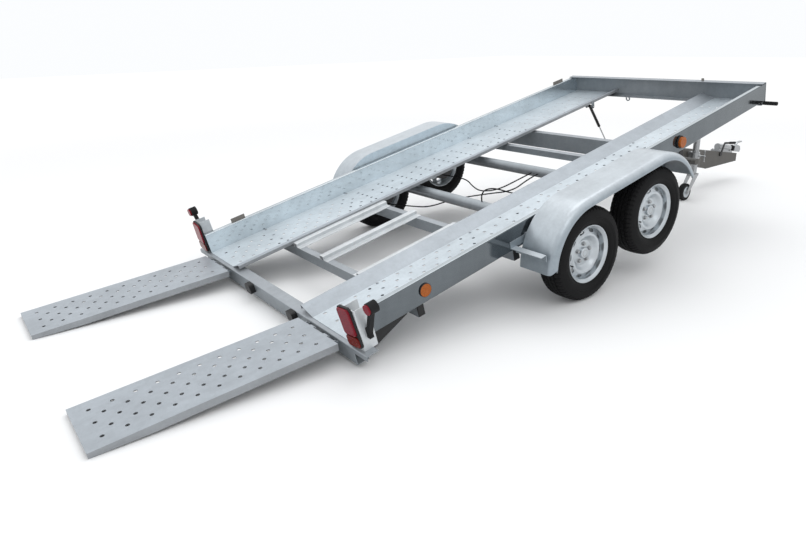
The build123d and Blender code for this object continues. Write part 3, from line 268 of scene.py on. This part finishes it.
# Mudguard: inward faces carry a painted bluish reflection
GUARD = galvanised(
    "mudguard sheet", (0.62, 0.67, 0.71), (0.33, 0.38, 0.42), (0.16, 0.17, 0.18), 0.30, 0.45,
    inner_reflection=(0.70, 0.82, 0.90),
)
BEAM = galvanised("beam steel", (0.42, 0.45, 0.48), (0.27, 0.30, 0.325), (0.13, 0.14, 0.15), 0.45, 0.4)
FRAME = galvanised("drawbar steel", (0.15, 0.15, 0.145), (0.095, 0.090, 0.082), (0.06, 0.06, 0.06), 0.5, 0.3)
# Axle: the brake drums past 0.985 m across are painted black as the shade seen through the rim's slots
AXLE = galvanised(
    "axle steel", (0.46, 0.50, 0.53), (0.26, 0.28, 0.30), (0.10, 0.105, 0.11), 0.38, 0.5, painted_shade_beyond=0.985
)
BRACKET = galvanised("bracket steel", (0.74, 0.77, 0.79), (0.66, 0.69, 0.71), (0.25, 0.26, 0.27), 0.4, 0.35)
FITTING = galvanised("zinc fitting", (0.62, 0.64, 0.65), (0.42, 0.43, 0.44), (0.18, 0.18, 0.18), 0.3, 0.7)
TAB = plain("bare steel", (0.25, 0.23, 0.21), 0.5, metallic=0.4, grain=0.2)
SILVER = plain("silver wheel paint", (0.56, 0.60, 0.63), 0.30, metallic=0.75, grain=0.05)
BLACK = plain("black paint", (0.016, 0.016, 0.017), 0.5, grain=0.06, gloss=0.35)
PLASTIC = plain("black plastic", (0.013, 0.013, 0.014), 0.5, grain=0.15, gloss=0.35)
RUBBER = plain("black rubber", (0.009, 0.009, 0.010), 0.7, grain=0.12, gloss=0.25)
TYRE = plain("tyre rubber", (0.0055, 0.0055, 0.006), 0.72, grain=0.2, scale=260, gloss=0.2)
BRIGHT = plain("bright steel", (0.60, 0.61, 0.62), 0.2, metallic=1.0)
RED = lens("red lens", (0.20, 0.004, 0.014))
ORANGE = lens("orange lens", (0.15, 0.010, 0.006))
AMBER = lens("amber lens", (0.38, 0.10, 0.015))

LOOKS = {
    "galvanised": BEAM, "bright_steel": BRIGHT, "silver_paint": SILVER, "black_paint": BLACK,
    "black_plastic": PLASTIC, "black_rubber": RUBBER, "tyre": TYRE,
    "red_lens": RED, "orange_lens": ORANGE, "amber_lens": AMBER,
}
# Looks by the start of a node's name, where they differ from its slot's; the last that fits is used
NODE_LOOKS = {
    "track_": FLOOR, "track_edge": RAMP, "side_rail": RAIL, "rail_tabs": TAB,
    "ramp_": RAMP, "ramp_rails": BRACKET, "lamp_brackets": BRACKET,
    "mudguard": GUARD, "guard_brackets": GUARD, "axle": AXLE, "drawbar": FRAME,
    "jockey_tube": FITTING, "jockey_fork": FITTING, "coupling": FITTING, "overrun": FITTING,
    "lock_lever": FITTING,
}
for entry in frame["record"]["subparts"]:
    look = LOOKS[entry["material_slot"]]
    for start, other in NODE_LOOKS.items():
        if entry["node"].startswith(start):
            look = other
    node = nodes[entry["node"]]
    node.data.materials.clear()
    node.data.materials.append(look)


# Mesh building
def piece(name, mesh, look, body):
    """A finished mesh as a piece that rides on a body."""
    data = bpy.data.meshes.new(name)
    bmesh.ops.recalc_face_normals(mesh, faces=mesh.faces)
    mesh.to_mesh(data)
    mesh.free()
    data.materials.append(look)
    obj = bpy.data.objects.new(name, data)
    bpy.context.collection.objects.link(obj)
    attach(obj, body)
    return obj


def lathe(mesh, profile, segments, matrix, smooth=True):
    """A profile of radius and height, turned round the matrix's z."""
    rings = []
    for radius, height in profile:
        if radius == 0:
            rings.append([mesh.verts.new(matrix @ Vector((0, 0, height)))])
            continue
        turns = [2 * math.pi * i / segments for i in range(segments)]
        places = [Vector((radius * math.cos(t), radius * math.sin(t), height)) for t in turns]
        rings.append([mesh.verts.new(matrix @ place) for place in places])
    for low, high in zip(rings, rings[1:]):
        for i in range(segments):
            j = (i + 1) % segments
            corners = [low[i % len(low)], low[j % len(low)], high[j % len(high)], high[i % len(high)]]
            face = mesh.faces.new(list(dict.fromkeys(corners)))
            face.smooth = smooth


def box(mesh, low, high, matrix, edge):
    """A box between two corners, with its edges rounded."""
    start = len(mesh.verts)
    made = bmesh.ops.create_cube(mesh, size=1)["verts"]
    middle = (Vector(low) + Vector(high)) / 2
    size = Vector(high) - Vector(low)
    for vert in made:
        vert.co = middle + Vector(c * s for c, s in zip(vert.co, size))
    edges = {e for v in made for e in v.link_edges}
    bmesh.ops.bevel(mesh, geom=list(edges), offset=edge, segments=2, affect="EDGES")
    mesh.verts.ensure_lookup_table()
    for vert in mesh.verts[start:]:
        vert.co = matrix @ vert.co


def tube(mesh, points, radius, sides=10):
    """A tube along a line of points."""
    rings = []
    for i, point in enumerate(points):
        along = (points[min(i + 1, len(points) - 1)] - points[max(i - 1, 0)]).normalized()
        across = across - across.dot(along) * along if rings else along.orthogonal()
        across = across.normalized()
        over = along.cross(across)
        turns = [2 * math.pi * k / sides for k in range(sides)]
        places = [point + radius * (math.cos(t) * across + math.sin(t) * over) for t in turns]
        rings.append([mesh.verts.new(place) for place in places])
    for low, high in zip(rings, rings[1:]):
        for k in range(sides):
            mesh.faces.new((low[k], low[(k + 1) % sides], high[(k + 1) % sides], high[k])).smooth = True
    mesh.faces.new(rings[0])
    mesh.faces.new(rings[-1])


def facing(point, side):
    """A place whose z points to a side of the trailer."""
    return Matrix.Translation(point) @ Matrix.Rotation(math.radians(-90 * side), 4, "X")


def hex_head(mesh, matrix, radius, height):
    """A hexagon head with a chamfer, on a washer."""
    washer = [(1.5 * radius, -0.001), (1.5 * radius, 0.0015), (1.4 * radius, 0.002), (0, 0.002)]
    lathe(mesh, washer, 20, matrix, False)
    head = [(radius, 0.002), (radius, 0.8 * height), (0.82 * radius, height), (0, height)]
    lathe(mesh, head, 6, matrix, False)


def dome_head(mesh, matrix, radius):
    """A low round bolt head."""
    dome = [(radius, -0.001), (radius, 0.0015), (0.8 * radius, 0.004), (0.4 * radius, 0.0055), (0, 0.006)]
    lathe(mesh, dome, 16, matrix)


# Brake cables: smooth lines along the part's routes, by points in the bed's frame
DRUM_Y = 0.992
DRUM_LOW = 0.227
TUBE_Z = 0.368
TUBE_REAR = 0.3877
ROUTES = [
    [
        (-0.366, DRUM_Y, DRUM_LOW), (-0.366, 0.900, DRUM_LOW), (-0.310, 0.560, 0.245), (-0.262, 0.420, 0.248),
        (-0.086, 0.330, 0.262), (0.112, 0.146, 0.262), (0.230, -0.020, 0.268), (0.285, -0.150, TUBE_Z),
        (TUBE_REAR, -0.150, TUBE_Z),
    ],
    [
        (0.310, DRUM_Y, DRUM_LOW), (0.310, 0.900, DRUM_LOW), (0.300, 0.600, 0.245), (0.190, 0.400, 0.250),
        (0.140, 0.250, 0.252), (0.190, 0.100, 0.272), (0.275, -0.085, TUBE_Z), (TUBE_REAR, -0.085, TUBE_Z),
    ],
    [
        (0.310, -DRUM_Y, DRUM_LOW), (0.310, -0.900, DRUM_LOW), (0.200, -0.480, 0.300), (0.060, -0.205, 0.345),
        (-0.100, -0.180, 0.455), (-0.248, -0.205, 0.485), (-0.248, -0.205, 0.4083),
    ],
]
CABLE_LENGTHS = [1.49, 1.24, 1.21]
for number, (route, length) in enumerate(zip(ROUTES, CABLE_LENGTHS), 1):
    curve = bpy.data.curves.new(f"brake_cable_{number}", "CURVE")
    curve.dimensions = "3D"
    curve.bevel_depth = 0.005
    curve.use_fill_caps = True
    curve.resolution_u = 12
    spline = curve.splines.new("NURBS")
    spline.points.add(len(route) - 1)
    for point, place in zip(spline.points, route):
        point.co = (*(BED @ Vector(place)), 1)
    spline.order_u = 3
    spline.use_endpoint_u = True
    curve.materials.append(RUBBER)
    cable = bpy.data.objects.new(f"brake_cable_{number}", curve)
    bpy.context.collection.objects.link(cable)
    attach(cable, "chassis")
    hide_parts("brake_cables")

# Tyres with grooves, tread blocks and ribbed sidewalls: distance from the middle, radius, tread row
TREAD = [
    (0.000, 0.2948, 0), (0.010, 0.2948, 0), (0.0105, 0.2870, 0), (0.0165, 0.2870, 0), (0.017, 0.2947, 1),
    (0.038, 0.2942, 1), (0.0385, 0.2866, 0), (0.0455, 0.2864, 0), (0.046, 0.2932, 2), (0.061, 0.2908, 2),
    (0.0765, 0.2803, 2), (0.0830, 0.2690, 0), (0.0888, 0.2520, 0), (0.0914, 0.2405, 0), (0.0922, 0.2345, 0),
    (0.0921, 0.2335, 0), (0.0908, 0.2330, 0), (0.0903, 0.2262, 0), (0.0914, 0.2258, 0), (0.0906, 0.2215, 0),
    (0.0893, 0.2211, 0), (0.0868, 0.2090, 0), (0.0832, 0.2005, 0), (0.0772, 0.1915, 0), (0.0708, 0.1838, 0),
    (0.0640, 0.1790, 0),
]
TURNS = 240
BLOCK = 4
VALVE_STEM = [
    (0.006, 0), (0.0055, 0.010), (0.0042, 0.014), (0.0042, 0.026),
    (0.0048, 0.027), (0.0048, 0.036), (0, 0.037),
]
VALVE_ANGLE = 198
WHEEL_BOLTS = 5
BOLT_CIRCLE = 0.056
BOLT_SEAT = 0.0225
SLOT_DEPTHS = {1: 0.003, 2: 0.006}
section = [(-u, r, row) for u, r, row in reversed(TREAD[1:])] + TREAD
for place, hub_x in HUBS.items():
    for side_name, side in SIDES.items():
        hub = facing(BED @ Vector((hub_x, side * WHEEL_Y, HUB_Z)), side)
        mesh = bmesh.new()
        rings = []
        for turn in range(TURNS):
            angle = 2 * math.pi * turn / TURNS
            ring = []
            for u, radius, row in section:
                slot_here = row and (turn + 2 * row) % BLOCK == 0
                deep = radius - SLOT_DEPTHS[row] if slot_here else radius
                ring.append(mesh.verts.new(hub @ Vector((deep * math.cos(angle), deep * math.sin(angle), u))))
            rings.append(ring)
        for ring, following in zip(rings, rings[1:] + rings[:1]):
            for k in range(len(section) - 1):
                mesh.faces.new((ring[k], ring[k + 1], following[k + 1], following[k]))
        tyre = piece(f"treaded_tyre_{place}_{side_name}", mesh, TYRE, f"wheel_{place}_{side_name}")
        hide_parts(f"tyre_{place}_{side_name}")

        mesh = bmesh.new()
        for k in range(WHEEL_BOLTS):
            angle = math.radians(360 / WHEEL_BOLTS * k + 18)
            seat = Matrix.Translation((BOLT_CIRCLE * math.cos(angle), BOLT_CIRCLE * math.sin(angle), BOLT_SEAT))
            hex_head(mesh, hub @ seat, 0.0105, 0.016)
        lathe(mesh, [(0.012, 0.041), (0.020, 0.0425), (0.024, 0.041)], 32, hub)
        piece(f"wheel_bolts_{place}_{side_name}", mesh, FITTING, f"wheel_{place}_{side_name}")

        mesh = bmesh.new()
        foot = hub @ Matrix.Rotation(math.radians(VALVE_ANGLE), 4, "Z") @ Matrix.Translation((0.150, 0, 0.034))
        lathe(mesh, VALVE_STEM, 14, foot)
        piece(f"valve_{place}_{side_name}", mesh, RUBBER, f"wheel_{place}_{side_name}")

# Rolled beads along the mudguards' outer lips: middle of each arc, start and end angle
BEAD_ARCS = [(-0.318, 168, 90), (0.398, 90, 21)]
ARC_Z = 0.261
LIP_RADIUS = 0.342
BEAD_Y = 1.2265
BEAD_STEPS = 16
for side_name, side in SIDES.items():
    line = []
    for middle, start, end in BEAD_ARCS:
        angles = [math.radians(start + (end - start) * i / BEAD_STEPS) for i in range(BEAD_STEPS + 1)]
        line += [(middle + LIP_RADIUS * math.cos(a), ARC_Z + LIP_RADIUS * math.sin(a)) for a in angles]
    mesh = bmesh.new()
    tube(mesh, [BED @ Vector((x, side * BEAD_Y, z)) for x, z in line], 0.0042)
    piece(f"mudguard_bead_{side_name}", mesh, GUARD, "chassis")

# Crossbeams under the tracks: rear face, front face, low edge
CROSSBEAMS = [
    (-1.435, -1.390, 0.3665),
    (-0.706, -0.661, 0.3585),
    (0.662, 0.707, 0.3885),
    (1.008, 1.054, 0.3045),
]

# Bolts through the track floors into the crossbeams
BOLT_ROWS = (0.5575, 0.9180)
mesh = bmesh.new()
for rear, front, _ in CROSSBEAMS:
    for side in SIDES.values():
        for y in BOLT_ROWS:
            dome_head(mesh, BED @ Matrix.Translation(((rear + front) / 2, side * y, FLOOR_TOP)), 0.0085)
piece("floor_bolts", mesh, BEAM, "chassis")

# Black caps in the crossbeams' ends
CAP_START = 0.944
CAP_END = 0.955
CAP_TOP = 0.438
CAP_PLAY = 0.0005
mesh = bmesh.new()
for rear, front, low in CROSSBEAMS:
    for side in SIDES.values():
        ends = sorted((side * CAP_START, side * CAP_END))
        low_corner = (rear + CAP_PLAY, ends[0], low + CAP_PLAY)
        box(mesh, low_corner, (front - CAP_PLAY, ends[1], CAP_TOP), BED, 0.002)
piece("beam_caps", mesh, PLASTIC, "chassis")

# Rims round the side lamps and the reflectors: name, place along the bed, profile
SIDE_LAMP_Z = 0.510
RIMS = [
    (
        "side_lamp_rims", 0.990,
        [(0.038, 0), (0.045, 0), (0.045, 0.010), (0.043, 0.013), (0.0400, 0.013), (0.0390, 0.011)],
    ),
    ("reflector_rims", -1.370, [(0.036, 0), (0.0385, 0), (0.0385, 0.006), (0.036, 0.0085)]),
]
for name, x, profile in RIMS:
    mesh = bmesh.new()
    for side in SIDES.values():
        lathe(mesh, profile, 40, facing(BED @ Vector((x, side * RAIL_FACE, SIDE_LAMP_Z)), side))
    piece(name, mesh, PLASTIC, "chassis")

# Nuts on the drawbar's hinges and the strut's upper pin: place across the bed, side that they face
HINGE_NUTS = [(-0.456, -1), (-0.344, 1), (0.344, -1), (0.456, 1)]
STRUT_PIN = (1.812, 0.4235, 0.424)
mesh = bmesh.new()
for y, side in HINGE_NUTS:
    hex_head(mesh, facing(BED @ Vector((HINGE[0], y, HINGE[1])), side), 0.019, 0.014)
hex_head(mesh, facing(BED @ Vector(STRUT_PIN), -1), 0.010, 0.009)
piece("pin_nuts", mesh, FITTING, "chassis")

# Eye plate on the front crossbeam
mesh = bmesh.new()
box(mesh, (2.180, -0.464, 0.588), (2.186, -0.440, 0.612), BED, 0.002)
piece("front_eye_plate", mesh, TAB, "chassis")

# Bolts of the overrun housing
mesh = bmesh.new()
for x in (-0.345, -0.095):
    for y in (-0.036, 0.036):
        hex_head(mesh, NOSE @ Matrix.Translation((x, y, 0.014)), 0.009, 0.010)
piece("housing_bolts", mesh, FITTING, "drawbar")

# Grip of the handbrake, with rings along it
GRIP_RINGS = 9
RING_PITCH = 0.011
GRIP_LEAN = 86.2
mesh = bmesh.new()
grip_place = NOSE @ Matrix.Translation((-0.215, -0.069, 0.099))
grip_turn = grip_place @ Matrix.Rotation(math.radians(GRIP_LEAN), 4, "Y")
grip = [(0, 0), (0.010, 0.001), (0.0135, 0.005)]
for i in range(GRIP_RINGS):
    along = RING_PITCH * i
    grip += [(0.0135, 0.010 + along), (0.0122, 0.0125 + along)]
    grip += [(0.0122, 0.0165 + along), (0.0135, 0.019 + along)]
grip += [(0.0135, 0.112), (0.010, 0.117), (0, 0.118)]
lathe(mesh, grip, 20, grip_turn)
piece("handbrake_grip", mesh, RUBBER, "drawbar")

# Handle of the jockey wheel's clamp
JOCKEY = Vector((2.490 - MID, -0.200, 0))
SCREW = [
    (0.012, 0), (0.012, 0.010), (0.007, 0.012), (0.007, 0.048),
    (0.009, 0.050), (0.009, 0.062), (0, 0.063),
]
HANDLE = [
    (0, 0), (0.005, 0.001), (0.0075, 0.005), (0.005, 0.010), (0.004, 0.011),
    (0.004, 0.099), (0.005, 0.100), (0.0075, 0.105), (0.005, 0.109), (0, 0.110),
]
clamp_z = hinge.z + ARM_RISE - math.tan(nose_lean) * (JOCKEY.x - hinge.x) - 0.050
mesh = bmesh.new()
screw = facing((JOCKEY.x, JOCKEY.y - 0.038, clamp_z), -1)
lathe(mesh, SCREW, 16, screw)
handle_turn = screw @ Matrix.Translation((0, -0.055, 0.056)) @ Matrix.Rotation(math.radians(-90), 4, "X")
lathe(mesh, HANDLE, 12, handle_turn)
piece("clamp_handle", mesh, FITTING, "drawbar")

# Hub faces of the jockey wheel
JOCKEY_WHEEL = Vector((2.365 - MID, -0.200, 0.082))
HUB_FACE = [
    (0.010, 0.026), (0.018, 0.0285), (0.022, 0.0285), (0.026, 0.0265),
    (0.044, 0.0265), (0.050, 0.0280), (0.054, 0.0262), (0.054, 0.024),
]
mesh = bmesh.new()
for side in SIDES.values():
    lathe(mesh, HUB_FACE, 32, facing(JOCKEY_WHEEL, side))
piece("jockey_hub", mesh, SILVER, "jockey_wheel")

# Studio floor, pale round the trailer and fading to white far out
FLOOR_REACH = 40
FADE_START = 5
FADE_END = 11
floor_mesh = bpy.data.meshes.new("floor")
corners = [(x * FLOOR_REACH, y * FLOOR_REACH, 0) for x, y in ((-1, -1), (1, -1), (1, 1), (-1, 1))]
floor_mesh.from_pydata(corners, [], [(0, 1, 2, 3)])
floor = bpy.data.objects.new("floor", floor_mesh)
bpy.context.collection.objects.link(floor)
floor_look, floor_tree, floor_bsdf = shader("pale floor")
coords = floor_tree.nodes.new("ShaderNodeTexCoord")
reach = floor_tree.nodes.new("ShaderNodeVectorMath")
reach.operation = "LENGTH"
floor_tree.links.new(coords.outputs["Object"], reach.inputs[0])
fade = spread(floor_tree, reach.outputs["Value"], FADE_START, FADE_END, 0, 1)
pale = tones(floor_tree, fade, [(0, (0.90, 0.90, 0.90)), (1, (0, 0, 0))])
floor_tree.links.new(pale, floor_bsdf.inputs["Base Color"])
floor_tree.links.new(fade, floor_bsdf.inputs["Emission Strength"])
floor_bsdf.inputs["Emission Color"].default_value = (1, 1, 1, 1)
floor_bsdf.inputs["Roughness"].default_value = 0.95
floor_bsdf.inputs["Specular IOR Level"].default_value = 0.1
floor_mesh.materials.append(floor_look)

# Lights: name, place, aim, size, power
LIGHTS = [
    ("key", (-3.0, -6.5, 7.5), (0, 0, 0.3), 5.0, 90),
    ("fill", (-7.0, 3.0, 5.0), (0, 0, 0.4), 5.0, 40),
    ("top", (1.5, 1.0, 8.0), (0, 0, 0.3), 6.0, 130),
]
for name, place, aim, size, power in LIGHTS:
    data = bpy.data.lights.new(name, "AREA")
    data.size = size
    data.energy = power
    light = bpy.data.objects.new(name, data)
    light.location = place
    light.rotation_euler = (Vector(aim) - Vector(place)).to_track_quat("-Z", "Y").to_euler()
    bpy.context.collection.objects.link(light)

world = bpy.data.worlds.new("studio")
bpy.context.scene.world = world
world.use_nodes = True
world.node_tree.nodes["Background"].inputs["Color"].default_value = (0.97, 0.985, 1.0, 1)
world.node_tree.nodes["Background"].inputs["Strength"].default_value = 1.0
